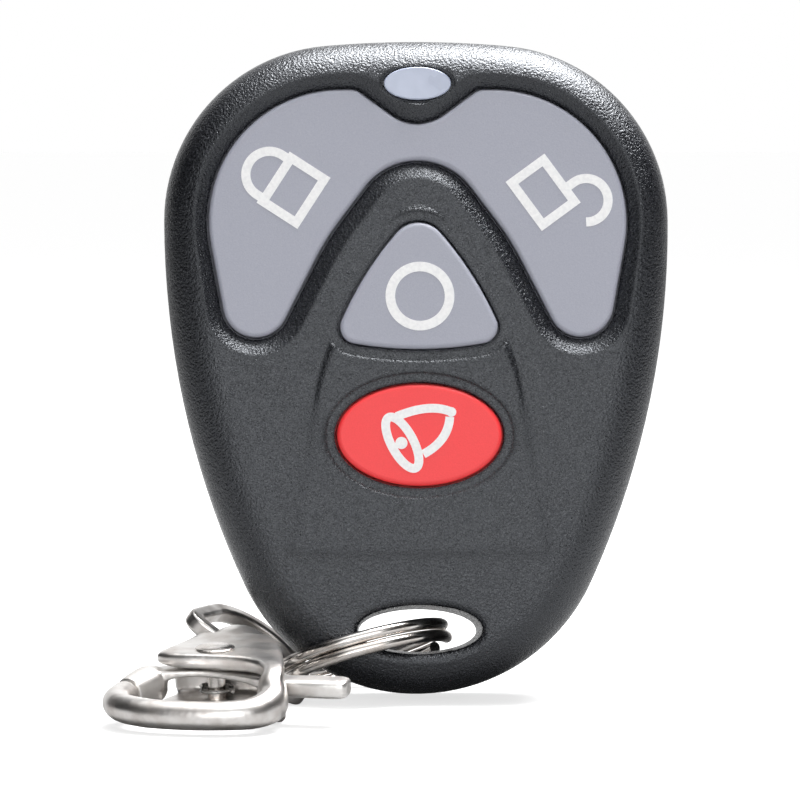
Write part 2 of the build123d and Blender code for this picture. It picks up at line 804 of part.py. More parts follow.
def gate_lever():
    """The lever in the slot: a thick head that closes the loop, a hub on the pin and a thumb tab."""
    hub = (0, 0, gate_hub_radius)
    arm = belt([gate_arm, hub])
    rear = belt([tab_arm, hub])
    plate = extrude(arm, amount=gate_thickness / 2, both=True)
    plate += extrude(rear, amount=gate_thickness / 2, both=True)
    tab_end = (tab_reach - tab_depth / 2, tab_line, tab_depth / 2)
    neck = belt([tab_end, tab_arm])
    plate += extrude(neck, amount=gate_thickness / 2, both=True)
    thumb = extrude(belt([tab_end, (tab_root, tab_line, tab_depth / 2)]), amount=tab_thickness / 2, both=True)
    thumb = fillet([e for e in thumb.edges() if abs(e.center().Z) > tab_thickness / 4], tab_thickness / 5)
    mouth = extrude(mouth_outline(), amount=claw_thickness, both=True)
    head = (claw_form() - mouth) & gate_gap(shoulder_inner[0], gate_seam)
    lever = plate + thumb + head
    lever -= Cylinder(pin_diameter / 2 + pin_fit, claw_thickness)
    pocket = Pos(0, 0, -gate_thickness / 2) * Cylinder(gate_pocket_radius, 2 * gate_pocket_depth)
    return lever - pocket


def gate_pin():
    """A rivet through claw and lever, with a flat dome at each end."""
    pin = Cylinder(pin_diameter / 2, 2 * pin_head_seat + pin_head_height)
    for side in (-1, 1):
        head = Pos(0, 0, side * (pin_head_seat + pin_head_height / 2)) * Cylinder(pin_head_diameter / 2,
                                                                                  pin_head_height)
        outer = head.edges().filter_by(GeomType.CIRCLE).sort_by(Axis.Z)[-1 if side > 0 else 0]
        pin += fillet(outer, pin_head_height * 0.6)
    return pin


def gate_spring():
    """The coil round the pin, in a pocket under the lever's hub."""
    height = gate_pocket_depth - gate_spring_wire - 0.1
    low = -gate_thickness / 2 + gate_spring_wire / 2
    return Pos(0, 0, low) * coil(gate_spring_radius, gate_spring_wire, height, gate_spring_turns)


def eye_outline(grow=0.0):
    """A D: straight across at the swivel, round at the far end."""
    start = swivel_back() + swivel_gap
    corner = eye_bar + 0.4
    far = eye_width / 2 - eye_bar / 2
    corner_x = eye_width / 2 - corner
    return belt([(corner_x, start + corner, corner), (0, start + eye_depth - far, far),
                 (-corner_x, start + corner, corner)], grow)


def swivel_eye():
    """The D, with a boss on its straight side for the rivet."""
    bow = extrude(eye_outline() - eye_outline(-eye_bar), amount=eye_thickness / 2, both=True)
    bow = fillet([e for e in bow.edges() if abs(e.center().Z) > eye_thickness / 4], eye_thickness / 4)
    start = swivel_back() + swivel_gap
    boss = Pos(0, start + eye_bar / 2, 0) * Rot(90, 0, 0) * Cylinder(stem_rivet / 2 + 0.9, eye_bar)
    eye = bow + boss
    eye -= Pos(0, start, 0) * Rot(90, 0, 0) * Cylinder(stem_rivet / 2, 4 * eye_bar)
    return Rot(0, eye_roll, 0) * eye


def swivel_rivet():
    """The rivet of the swivel: its head turns in the cup, its tail is closed inside the eye."""
    floor = swivel_back() - cup_floor - swivel_gap / 2
    tail = swivel_back() + swivel_gap + eye_bar
    shank = Pos(0, (floor + tail) / 2, 0) * Rot(90, 0, 0) * Cylinder(stem_rivet / 2, tail - floor)
    head = Pos(0, floor - rivet_head_thickness / 2, 0) * Rot(90, 0, 0) * Cylinder(rivet_head / 2,
                                                                                 rivet_head_thickness)
    head = fillet(head.edges().group_by(Axis.Y)[0], rivet_head_thickness / 2)
    button = Pos(0, tail + 0.25, 0) * Rot(90, 0, 0) * Cylinder(stem_rivet / 2 + 0.5, 0.5)
    return shank + head + button


def export(name, shape):
    shape.label = name
    export_step(shape, os.path.join("parts", name + ".step"))


def main():
    os.makedirs("parts", exist_ok=True)
    case = bored_case()
    in_case = {
        "front_shell": front_shell(case),
        "back_shell": back_shell(case),
        "case_screws": screws(),
        "indicator_window": indicator_window(),
        "lock_unlock_key": lock_unlock_key(),
        "circle_key": circle_key(),
        "alarm_key": alarm_key(),
        "lock_unlock_plungers": plungers(lock_places()),
        "circle_plunger": plungers([circle_switch]),
        "alarm_plunger": plungers([(0, oval_centre)]),
        "circuit_board": board(),
        "tact_switches": tact_switches(),
        "indicator_lamp": indicator_lamp(),
        "encoder_chip": encoder_chip(),
        "resonator": on_board_back(resonator_place, resonator_size),
        "antenna_coil": antenna_coil(),
        "battery": battery(),
        "battery_spring_contact": spring_contact(),
        "battery_button_contact": contact(1),
    }
    for name, shape in in_case.items():
        export(name, leaned(shape))
    export("split_ring", split_ring())
    place = claw_place()
    on_clasp = {
        "claw_casting": claw_casting(),
        "gate_lever": gate_lever(),
        "gate_pin": gate_pin(),
        "gate_spring": gate_spring(),
        "swivel_eye": swivel_eye(),
        "swivel_rivet": swivel_rivet(),
    }
    for name, shape in on_clasp.items():
        export(name, place * shape)


if __name__ == "__main__":
    main()
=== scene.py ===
# %% [markdown]
# # A gate remote control, dressed in Blender
#
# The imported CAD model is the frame: it holds every solid piece at its real size and place. Blender adds
# what a solid can't show: the grain of the moulded case, the printed signs, the cast and worn nickel of
# the clasp, and the light. Lengths are written in millimetres and turned into metres by `mm`.

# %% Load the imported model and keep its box
import json
import math

import bmesh
import bpy
import numpy as np
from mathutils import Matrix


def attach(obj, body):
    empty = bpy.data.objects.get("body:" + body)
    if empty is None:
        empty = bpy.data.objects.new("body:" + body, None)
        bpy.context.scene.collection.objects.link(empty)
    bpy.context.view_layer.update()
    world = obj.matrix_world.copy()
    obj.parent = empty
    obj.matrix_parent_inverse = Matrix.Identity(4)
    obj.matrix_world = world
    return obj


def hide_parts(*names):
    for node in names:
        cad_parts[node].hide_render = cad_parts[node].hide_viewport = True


mm = 0.001
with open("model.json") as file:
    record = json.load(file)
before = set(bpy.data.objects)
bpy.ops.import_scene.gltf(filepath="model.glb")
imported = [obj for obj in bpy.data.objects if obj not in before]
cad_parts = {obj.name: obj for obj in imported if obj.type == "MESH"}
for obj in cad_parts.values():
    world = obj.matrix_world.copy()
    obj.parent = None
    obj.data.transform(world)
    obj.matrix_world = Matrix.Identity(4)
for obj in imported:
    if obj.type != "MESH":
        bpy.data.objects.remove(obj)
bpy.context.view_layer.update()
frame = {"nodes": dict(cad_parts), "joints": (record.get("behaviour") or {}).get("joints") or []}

# %% [markdown]
# ## The camera
#
# The photograph was taken from nearly straight ahead, a little above and a little to the left, with a long
# lens. A long lens keeps the case's sides nearly parallel. The object stood a little above and to the right
# of the middle of the picture, and the lens shift gives that without turning the camera.


# %% Place the camera
def linked(name, data):
    """An object for this data, put into the scene."""
    piece = bpy.data.objects.new(name, data)
    bpy.context.scene.collection.objects.link(piece)
    return piece


camera_azimuth = math.radians(-2.5)
camera_height = math.radians(3.5)
camera_distance = 450 * mm
lens_length = 219.1
sensor = 36.0
picture = 800
origin_pixel = (416.0, 368.5)

camera_data = bpy.data.cameras.new("camera")
camera_data.lens = lens_length
camera_data.sensor_width = sensor
camera_data.shift_x = (picture / 2 - origin_pixel[0]) / picture
camera_data.shift_y = (origin_pixel[1] - picture / 2) / picture
camera_data.clip_start = 0.01
camera = linked("camera", camera_data)
away = np.array([math.sin(camera_azimuth) * math.cos(camera_height),
                 -math.cos(camera_azimuth) * math.cos(camera_height),
                 math.sin(camera_height)])
camera.location = away * camera_distance
camera.rotation_euler = (math.pi / 2 - camera_height, 0.0, camera_azimuth)
bpy.context.scene.camera = camera
bpy.context.scene.view_settings.view_transform = "Standard"
print("camera at, mm:", [round(v / mm, 1) for v in camera.location])

# %% [markdown]
# ## A short kit for node materials
#
# Every finish is a Principled shader with a few textures on Object coordinates, which stay on the piece
# when it moves. The helpers add nodes and join them, so that each finish below reads as a short recipe.


# %% Helpers for materials
def new_material(name, metallic=0.0, **plain):
    """A material with a Principled shader. Plain values go straight onto its sockets."""
    material = bpy.data.materials.new(name)
    material.use_nodes = True
    shader = material.node_tree.nodes["Principled BSDF"]
    shader.inputs["Metallic"].default_value = metallic
    for socket, value in plain.items():
        shader.inputs[socket.replace("_", " ")].default_value = value
    return material, shader


def texture(material, kind, size, detail=2.0, stretch=(1, 1, 1), **settings):
    """A procedural texture on Object coordinates, whose features are about size metres across."""
    nodes, links = material.node_tree.nodes, material.node_tree.links
    place = nodes.new("ShaderNodeTexCoord")
    turn = nodes.new("ShaderNodeMapping")
    turn.inputs["Scale"].default_value = stretch
    links.new(place.outputs["Object"], turn.inputs["Vector"])
    pattern = nodes.new("ShaderNodeTex" + kind)
    links.new(turn.outputs["Vector"], pattern.inputs["Vector"])
    pattern.inputs["Scale"].default_value = 1 / size
    if "Detail" in pattern.inputs:
        pattern.inputs["Detail"].default_value = detail
    for key, value in settings.items():
        setattr(pattern, key, value)
    return pattern.outputs["Distance" if kind == "Voronoi" else 0]


def spread(owner, value, low, high, to_low, to_high, smooth=False):
    """Maps a value of a material or of the world from low..high to to_low..to_high, held at both ends. Smooth
    eases it in and out."""
    node = owner.node_tree.nodes.new("ShaderNodeMapRange")
    if smooth:
        node.interpolation_type = "SMOOTHSTEP"
    for socket, number in (("From Min", low), ("From Max", high), ("To Min", to_low), ("To Max", to_high)):
        node.inputs[socket].default_value = number
    owner.node_tree.links.new(value, node.inputs["Value"])
    return node.outputs["Result"]


def combine(owner, operation, *values):
    """One Math node on one or two values of a material or of the world."""
    node = owner.node_tree.nodes.new("ShaderNodeMath")
    node.operation = operation
    for value, socket in zip(values, node.inputs):
        owner.node_tree.links.new(value, socket)
    return node.outputs[0]


def shades(material, value, *stops):
    """A colour ramp: each stop is (place, (r, g, b))."""
    node = material.node_tree.nodes.new("ShaderNodeValToRGB")
    ramp = node.color_ramp
    while len(ramp.elements) < len(stops):
        ramp.elements.new(0.5)
    for element, (place, colour) in zip(ramp.elements, stops):
        element.position = place
        element.color = (*colour, 1)
    material.node_tree.links.new(value, node.inputs["Fac"])
    return node.outputs["Color"]


def join(material, value, shader, socket):
    """Links a value to one of the shader's sockets."""
    material.node_tree.links.new(value, shader.inputs[socket])


def bump(material, shader, *heights, under=None):
    """Stacks bumps on the plain surface, or on the normal under them: each is (texture value, height in
    metres)."""
    nodes, links = material.node_tree.nodes, material.node_tree.links
    before = under
    for value, height in heights:
        node = nodes.new("ShaderNodeBump")
        node.inputs["Distance"].default_value = height
        links.new(value, node.inputs["Height"])
        if before:
            links.new(before, node.inputs["Normal"])
        before = node.outputs["Normal"]
    links.new(before, shader.inputs["Normal"])


def dress(material, *nodes):
    """Puts a material on all slots of these CAD nodes."""
    for name in nodes:
        for slot in frame["nodes"][name].material_slots:
            slot.material = material
    print(material.name, "on", ", ".join(nodes))


# %% [markdown]
# ## The case
#
# The shells are moulded in charcoal plastic with a spark-eroded grain. The photograph shows it as fine
# speckle, about a sixth of a millimetre across, which glitters where the top edge turns to the light. The
# real edges are polished round, so a Bevel node softens the shading across each edge without a new mesh.


# %% Grained charcoal plastic
def grained_plastic(name, dark, light, grain, height, roughness, rounding=0.0, **plain):
    """Moulded plastic: two sizes of grain in the bump, and grains that differ in shade and in gloss. Rounding
    softens the shading across edges, as a mould's polished edges do."""
    material, shader = new_material(name, **{"IOR": 1.6, **plain})
    fine = texture(material, "Noise", grain, detail=3.0)
    cells = texture(material, "Voronoi", grain * 1.3, feature="SMOOTH_F1")
    gloss = spread(material, fine, 0.35, 0.65, roughness - 0.08, roughness + 0.08)
    join(material, shades(material, fine, (0.35, dark), (0.7, light)), shader, "Base Color")
    join(material, gloss, shader, "Roughness")
    soft_edge = None
    if rounding:
        bevel = material.node_tree.nodes.new("ShaderNodeBevel")
        bevel.inputs["Radius"].default_value = rounding
        soft_edge = bevel.outputs["Normal"]
    bump(material, shader, (cells, height), (fine, height * 0.7), under=soft_edge)
    return material


charcoal = grained_plastic("charcoal_plastic", (0.003, 0.003, 0.004), (0.014, 0.015, 0.019), grain=0.17 * mm,
                           height=0.06 * mm, roughness=0.28, rounding=0.4 * mm, IOR=1.7,
                           Specular_Tint=(0.9, 0.94, 1.0, 1))

# %% [markdown]
# The raised tongue fades into the face beside and below the red key. A crease there would look cut, so the
# rounding is wider in that area. The area is worked out from Object coordinates: each border below is a pair
# of places between which the wider rounding comes in.

# %% Softer creases at the foot of the tongue
tongue_side = (8.2 * mm, 9.5 * mm)
tongue_foot = (-14.5 * mm, -13.5 * mm)
ring_hole_top = (-20.5 * mm, -19.5 * mm)
red_key_top = (-3.5 * mm, -2.0 * mm)


def melt_creases(material, wide):
    """Radius = plain + (wide - plain) * max(beside, below) * above the hole * under the keys, each 0 to 1."""
    nodes, links = material.node_tree.nodes, material.node_tree.links
    place, apart = nodes.new("ShaderNodeTexCoord"), nodes.new("ShaderNodeSeparateXYZ")
    links.new(place.outputs["Object"], apart.inputs[0])
    from_middle = combine(material, "ABSOLUTE", apart.outputs["X"])
    beside = spread(material, from_middle, *tongue_side, 0.0, 1.0)
    below = spread(material, apart.outputs["Z"], *tongue_foot, 1.0, 0.0)
    above_hole = spread(material, apart.outputs["Z"], *ring_hole_top, 0.0, 1.0)
    under_keys = spread(material, apart.outputs["Z"], *red_key_top, 1.0, 0.0)
    area = combine(material, "MAXIMUM", beside, below)
    area = combine(material, "MULTIPLY", area, above_hole)
    area = combine(material, "MULTIPLY", area, under_keys)
    radius = next(node for node in nodes if node.type == "BEVEL").inputs["Radius"]
    links.new(spread(material, area, 0.0, 1.0, radius.default_value, wide), radius)


melt_creases(charcoal, wide=1.5 * mm)
dress(charcoal, "front_shell", "back_shell")

# %% [markdown]
# ## The keys and the window
#
# The keys are bluish grey and red, smoother than the case, with a very fine satin grain. The window is a
# frosted, bluish lens that is glossier than anything round it.

# %% Keys and window
key_satin = dict(grain=0.12 * mm, height=0.006 * mm, roughness=0.5)
grey_key = grained_plastic("grey_key", (0.33, 0.34, 0.41), (0.38, 0.39, 0.45), **key_satin)
red_key = grained_plastic("red_key", (0.9, 0.032, 0.036), (0.95, 0.045, 0.05), **key_satin)
dress(grey_key, "lock_unlock_key", "circle_key")
dress(red_key, "alarm_key")

frosted, lens = new_material("frosted_window", IOR=1.5, Coat_Weight=0.6, Coat_Roughness=0.08)
cloud = texture(frosted, "Noise", 2.5 * mm)
join(frosted, shades(frosted, cloud, (0.3, (0.34, 0.38, 0.5)), (0.7, (0.45, 0.5, 0.63))), lens, "Base Color")
join(frosted, spread(frosted, cloud, 0.3, 0.7, 0.25, 0.35), lens, "Roughness")
bump(frosted, lens, (texture(frosted, "Noise", 0.4 * mm), 0.004 * mm))
dress(frosted, "indicator_window")

# %% [markdown]
# ## Cast and plated metal
#
# The clasp is cast and nickel plated. The plating is bright but not a mirror: broad gentle waves come from
# the casting, and small dark pits and dull patches from wear. The ring is drawn wire, so it has the same
# recipe with lower waves, shallower pits and a lower roughness.


# %% Nickel
def nickel(name, bright, dull, wave, pit, roughness):
    """Plated metal: broad waves in the bump, dull patches, and sparse small pits."""
    material, shader = new_material(name, metallic=1.0)
    patches = texture(material, "Noise", 2.2 * mm, detail=5.0)
    waves = texture(material, "Noise", 1.6 * mm, detail=1.0)
    specks = texture(material, "Voronoi", 0.9 * mm)
    holes = spread(material, specks, 0.08, 0.2, 0.0, 1.0)
    join(material, shades(material, patches, (0.3, dull), (0.62, bright)), shader, "Base Color")
    join(material, spread(material, patches, 0.3, 0.7, roughness + 0.12, roughness), shader, "Roughness")
    bump(material, shader, (waves, wave), (holes, pit))
    return material


cast_nickel = nickel("cast_nickel", (0.87, 0.85, 0.83), (0.62, 0.58, 0.55), 0.08 * mm, 0.03 * mm, 0.28)
worn_nickel = nickel("worn_nickel", (0.87, 0.85, 0.83), (0.72, 0.69, 0.66), 0.05 * mm, 0.02 * mm, 0.36)
wire_nickel = nickel("wire_nickel", (0.88, 0.85, 0.82), (0.66, 0.6, 0.55), 0.02 * mm, 0.006 * mm, 0.17)
dress(cast_nickel, "claw_casting", "gate_lever", "swivel_eye")
dress(wire_nickel, "split_ring", "gate_pin", "swivel_rivet")

# %% [markdown]
# ## Inside the case
#
# These pieces are hidden while the case is closed, but they show when someone takes the model apart, so each
# gets its own plain finish.


# %% Finishes inside the case
def plain_finish(name, dark, light, size, roughness, metallic=0.0, height=0.004 * mm, stretch=(1, 1, 1)):
    """A finish with two shades, mixed by noise, and a fine bump."""
    material, shader = new_material(name, metallic=metallic)
    mix = texture(material, "Noise", size, stretch=stretch)
    join(material, shades(material, mix, (0.35, dark), (0.65, light)), shader, "Base Color")
    join(material, spread(material, mix, 0.3, 0.7, roughness - 0.05, roughness + 0.05), shader, "Roughness")
    bump(material, shader, (mix, height))
    return material


dress(plain_finish("black_moulding", (0.012,) * 3, (0.03,) * 3, 0.15 * mm, 0.45),
      "encoder_chip", "tact_switches", "lock_unlock_plungers", "circle_plunger", "alarm_plunger")
dress(plain_finish("solder_mask", (0.01, 0.12, 0.045), (0.02, 0.2, 0.07), 0.6 * mm, 0.3), "circuit_board")
dress(plain_finish("clear_epoxy", (0.75, 0.74, 0.68), (0.85, 0.84, 0.78), 0.5 * mm, 0.15), "indicator_lamp")
dress(plain_finish("tinned_can", (0.5, 0.5, 0.5), (0.66, 0.66, 0.65), 0.8 * mm, 0.3, metallic=1.0),
      "resonator")
dress(plain_finish("copper_wire", (0.7, 0.33, 0.16), (0.85, 0.45, 0.25), 0.3 * mm, 0.25, metallic=1.0),
      "antenna_coil")
dress(plain_finish("battery_can", (0.55, 0.55, 0.54), (0.7, 0.7, 0.68), 1.5 * mm, 0.28, metallic=1.0,
                   stretch=(0.1, 1, 1)), "battery")
dress(plain_finish("plated_contact", (0.6, 0.58, 0.5), (0.75, 0.73, 0.65), 0.5 * mm, 0.25, metallic=1.0),
      "battery_spring_contact", "battery_button_contact")
dress(plain_finish("zinc_plate", (0.5, 0.51, 0.53), (0.66, 0.67, 0.7), 0.4 * mm, 0.3, metallic=1.0),
      "case_screws")
dress(plain_finish("spring_steel", (0.3, 0.3, 0.3), (0.5, 0.49, 0.47), 0.3 * mm, 0.3, metallic=1.0),
      "gate_spring")

# %% [markdown]
# ## The printed signs
#
# The signs are white ink on the keys: a padlock, an open padlock, a ring and a bell. Each is a strip of
# even width that follows a path in the plane of the face. It stands a few hundredths of a millimetre proud
# of its key and rides on the key's body, so it moves when the key is pressed.


# %% The plane of the face
press = next(joint for joint in frame["joints"] if joint["name"] == "circle_press")
inward = np.array(press["axis"])
across = np.array([1.0, 0.0, 0.0])
upward = np.cross(across, inward)


def key_front(node):
    """How far along the inward direction the front of a key lies."""
    data = frame["nodes"][node].data
    points = np.empty(len(data.vertices) * 3)
    data.vertices.foreach_get("co", points)
    return (points.reshape(-1, 3) @ inward).min()


print("key fronts, mm:", {node: round(key_front(node) / mm, 2)
                          for node in ("lock_unlock_key", "circle_key", "alarm_key")})

# %% A strip along a path
ink_rise = 0.03 * mm
ink_depth = 0.02 * mm


def arc(centre, radius, start, end, count=48):
    """Points on an arc, from the start angle to the end angle in degrees."""
    turn = np.radians(np.linspace(start, end, count))
    return np.array(centre) + radius * np.stack([np.cos(turn), np.sin(turn)], axis=1)


def bow(start, pull, end, count=24):
    """Points on a quadratic curve: it leaves start towards pull and arrives at end from pull."""
    t = np.linspace(0, 1, count)[:, None]
    start, pull, end = np.array(start), np.array(pull), np.array(end)
    return (1 - t) ** 2 * start + 2 * t * (1 - t) * pull + t ** 2 * end


def turned(points, angle, centre):
    """Points in a sign's own frame, turned by angle in degrees and moved to its centre."""
    a = math.radians(angle)
    spin = np.array([[math.cos(a), math.sin(a)], [-math.sin(a), math.cos(a)]])
    return np.asarray(points, float) @ spin + np.array(centre)


def ink_strip(name, node, body, path, stroke, closed=False, lift=0.0):
    """A strip of ink. The left and right rails are the path, moved sideways by half the stroke along the
    mitre of its two neighbouring runs. Four rails, two in front and two behind, make a closed band. Where two
    strips cross, lift keeps one a little in front of the other."""
    path = np.asarray(path, float)
    runs = np.roll(path, -1, axis=0) - path if closed else np.diff(path, axis=0)
    side = np.stack([-runs[:, 1], runs[:, 0]], axis=1) / np.linalg.norm(runs, axis=1)[:, None]
    if closed:
        before, after = np.roll(side, 1, axis=0), side
    else:
        before, after = np.vstack([side[:1], side]), np.vstack([side, side[-1:]])
    mitre = (before + after) / (1 + np.sum(before * after, axis=1))[:, None]
    left, right = path + mitre * stroke / 2, path - mitre * stroke / 2
    front = key_front(node) - lift
    rails = []
    for rail, depth in ((left, front - ink_rise), (right, front - ink_rise),
                        (right, front + ink_depth), (left, front + ink_depth)):
        rails.append(np.outer(rail[:, 0] * mm, across) + np.outer(rail[:, 1] * mm, upward) + depth * inward)
    count = len(path)
    points = np.stack(rails, axis=1).reshape(-1, 3)
    station = np.arange(count if closed else count - 1)
    after = (station + 1) % count
    faces = [np.stack([4 * station + i, 4 * station + (i + 1) % 4, 4 * after + (i + 1) % 4, 4 * after + i],
                      axis=1) for i in range(4)]
    faces = np.concatenate(faces).tolist()
    if not closed:
        faces += [[3, 2, 1, 0], [4 * count - 4, 4 * count - 3, 4 * count - 2, 4 * count - 1]]
    finished_mesh(name, points, faces, ink, body)


def outward_mesh(name, points, faces):
    """A mesh whose faces all point outwards."""
    data = bpy.data.meshes.new(name)
    data.from_pydata(points.tolist(), [], faces)
    shape = bmesh.new()
    shape.from_mesh(data)
    bmesh.ops.recalc_face_normals(shape, faces=shape.faces)
    shape.to_mesh(data)
    shape.free()
    return data


def finished_mesh(name, points, faces, material, body):
    """Makes a mesh object at the origin and lets it ride on a body."""
    data = outward_mesh(name, points, faces)
    data.materials.append(material)
    piece = linked(name, data)
    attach(piece, body)
    print(name, "has", len(data.polygons), "faces and rides on", body)


ink = plain_finish("white_ink", (0.82, 0.82, 0.83), (0.9, 0.9, 0.9), 0.3 * mm, 0.5, height=0.002 * mm)

# %% Padlock and open padlock
padlock_width, padlock_height = 4.75, 3.6
padlock_stroke = 0.84
box_path = [(-padlock_width / 2, -padlock_height / 2), (padlock_width / 2, -padlock_height / 2),
            (padlock_width / 2, padlock_height / 2), (-padlock_width / 2, padlock_height / 2)]
lock_place = dict(angle=57.0, centre=(-11.37, 15.89))
unlock_place = dict(angle=-53.9, centre=(11.45, 15.68))
shackle_radius = 2.15
shackle_base = padlock_height / 2 + padlock_stroke / 2
closed_shackle = np.vstack([[(shackle_radius, shackle_base)],
                            arc((0, shackle_base + 0.4), shackle_radius, 0, 180),
                            [(-shackle_radius, shackle_base)]])
open_radius = 2.0
open_centre = (2.92, 2.76)
open_shackle = np.vstack([[(open_centre[0] - open_radius, shackle_base)],
                          arc(open_centre, open_radius, 180, -37)])
for sign, place, shackle in (("lock_sign", lock_place, closed_shackle),
                             ("unlock_sign", unlock_place, open_shackle)):
    ink_strip(sign + "_box", "lock_unlock_key", "lock_unlock", turned(box_path, **place), padlock_stroke,
              closed=True)
    ink_strip(sign + "_shackle", "lock_unlock_key", "lock_unlock", turned(shackle, **place), padlock_stroke)


# %% Ring sign and bell
def full_ring(centre, radius, count):
    """Points on a whole circle, without the last one, which would double the first."""
    return arc(centre, radius, 0, 360, count + 1)[:-1]


ring_sign_centre, ring_sign_radius, ring_sign_stroke = (0.09, 6.12), 2.7, 0.88
ink_strip("ring_sign", "circle_key", "circle", full_ring(ring_sign_centre, ring_sign_radius, 96),
          ring_sign_stroke, closed=True)

bell_stroke = 0.8
bell_mouth = (-1.59, -7.24)
mouth_half_length, mouth_half_width = 2.6, 1.0
mouth_turn = np.linspace(0, 2 * np.pi, 73)[:-1]
mouth_ring = np.stack([mouth_half_length * np.cos(mouth_turn), mouth_half_width * np.sin(mouth_turn)], axis=1)
bell_upper = bow((-2.1, -4.86), (1.0, -3.6), (2.9, -4.46))
bell_lower = bow((2.75, -4.9), (2.6, -7.1), (0.32, -8.29))
bell_knob = full_ring((2.9, -4.46), 0.22, 24)
bell_clapper = full_ring((-1.67, -7.27), 0.28, 24)
knob_stroke, clapper_stroke = 0.44, 0.55
ink_strip("bell_sign_mouth", "alarm_key", "alarm", turned(mouth_ring, -62, bell_mouth), bell_stroke,
          closed=True)
ink_strip("bell_sign_upper", "alarm_key", "alarm", bell_upper, bell_stroke, lift=0.006 * mm)
ink_strip("bell_sign_lower", "alarm_key", "alarm", bell_lower, bell_stroke, lift=0.009 * mm)
ink_strip("bell_sign_knob", "alarm_key", "alarm", bell_knob, knob_stroke, closed=True, lift=0.012 * mm)
ink_strip("bell_sign_clapper", "alarm_key", "alarm", bell_clapper, clapper_stroke, closed=True)

# %% [markdown]
# ## The clasp's cast surfaces
#
# The casting and the lever are soft, rounded shapes: a loop of round bar that grows out of two plates, a
# flared cup, and a lever with a fat head and a flat tab. They turn about the CAD's pin but are drawn anew, and
# the lever's head ends about four millimetres sooner than the CAD's. Each is a union of lofts, melted together
# by a fine voxel remesh and smoothed, because cast metal has no sharp seams where its parts meet, and it takes
# its node's place.

# %% The clasp's own axes
gate_joint = next(joint for joint in frame["joints"] if joint["name"] == "gate_open")
swivel_joint = next(joint for joint in frame["joints"] if joint["name"] == "claw_swivel")
clasp_up = np.array(gate_joint["axis"], float)
clasp_back = np.array(swivel_joint["axis"], float)
clasp_across = np.cross(clasp_back, clasp_up)
clasp_centre = np.array([-18.5295, -16.2485, -27.1839])  # the middle of the lever's pin, in millimetres
print("clasp axes:", clasp_across.round(3), clasp_back.round(3), clasp_up.round(3))


# %% Lofts and turned shapes in the clasp's axes
def smooth_rows(rows, steps=8):
    """Catmull-Rom curve through rows of numbers: between two rows each number follows the cubic that has
    the slope of its neighbours at both ends."""
    rows = np.asarray(rows, float)
    padded_rows = np.vstack([2 * rows[0] - rows[1], rows, 2 * rows[-1] - rows[-2]])
    t = np.linspace(0, 1, steps, endpoint=False)[:, None]
    pieces = []
    for a, b, c, d in zip(padded_rows, padded_rows[1:], padded_rows[2:], padded_rows[3:]):
        pieces.append(0.5 * (2 * b + (c - a) * t + (2 * a - 5 * b + 4 * c - d) * t ** 2
                             + (3 * b - a - 3 * c + d) * t ** 3))
    return np.vstack(pieces + [rows[-1:]])


def point_numbers(points):
    """The number of each point in a grid (row, turn) of points, counted row by row."""
    return np.arange(points.shape[0] * points.shape[1]).reshape(points.shape[:2])


def quads_between(near, far):
    """Quads between two grids (row, turn) of point numbers, each row of them closed round the turn."""
    near_next, far_next = np.roll(near, -1, axis=1), np.roll(far, -1, axis=1)
    return np.stack([near, near_next, far_next, far], axis=-1).reshape(-1, 4)


def loft(rows, power=2.0, count=40, straight=False):
    """A closed loft. Each row is (across, back, up, half width, half height), and its section is a
    superellipse |u|^power + |v|^power = 1: v runs up, and u runs sideways, square to the path, or straight
    across the clasp."""
    rows = smooth_rows(rows)
    path = rows[:, :2]
    run = np.gradient(path, axis=0)
    run /= np.linalg.norm(run, axis=1)[:, None]
    side = np.array([[1.0, 0.0]] * len(run)) if straight else np.stack([run[:, 1], -run[:, 0]], axis=1)
    turn = np.linspace(0, 2 * np.pi, count, endpoint=False)
    u = np.sign(np.cos(turn)) * np.abs(np.cos(turn)) ** (2 / power)
    v = np.sign(np.sin(turn)) * np.abs(np.sin(turn)) ** (2 / power)
    plan = path[:, None] + side[:, None] * (rows[:, 3:4] * u)[..., None]
    height = rows[:, 2:3] + rows[:, 4:5] * v
    points = np.concatenate([plan, height[..., None]], axis=2)
    return closed_tube(points)


def turned_shape(profile, count=64, upright=False):
    """A closed profile of (radius, place along the axis) turned about the clasp's long or upright axis."""
    turn = np.linspace(0, 2 * np.pi, count, endpoint=False)
    radius, along = np.asarray(profile, float).T
    sweep = [radius * np.cos(turn)[:, None], np.broadcast_to(along, (count, len(along))),
             radius * np.sin(turn)[:, None]]
    points = np.stack([sweep[0], sweep[2], sweep[1]] if upright else sweep, axis=2)
    place = point_numbers(points)
    return points.reshape(-1, 3), quads_between(place, np.roll(place, -1, axis=0)).tolist()


def closed_tube(points):
    """A tube over a grid (station, turn) of points, with one many-sided face as a cap at each end."""
    place = point_numbers(points)
    caps = [place[0, ::-1].tolist(), place[-1].tolist()]
    return points.reshape(-1, 3), quads_between(place[:-1], place[1:]).tolist() + caps


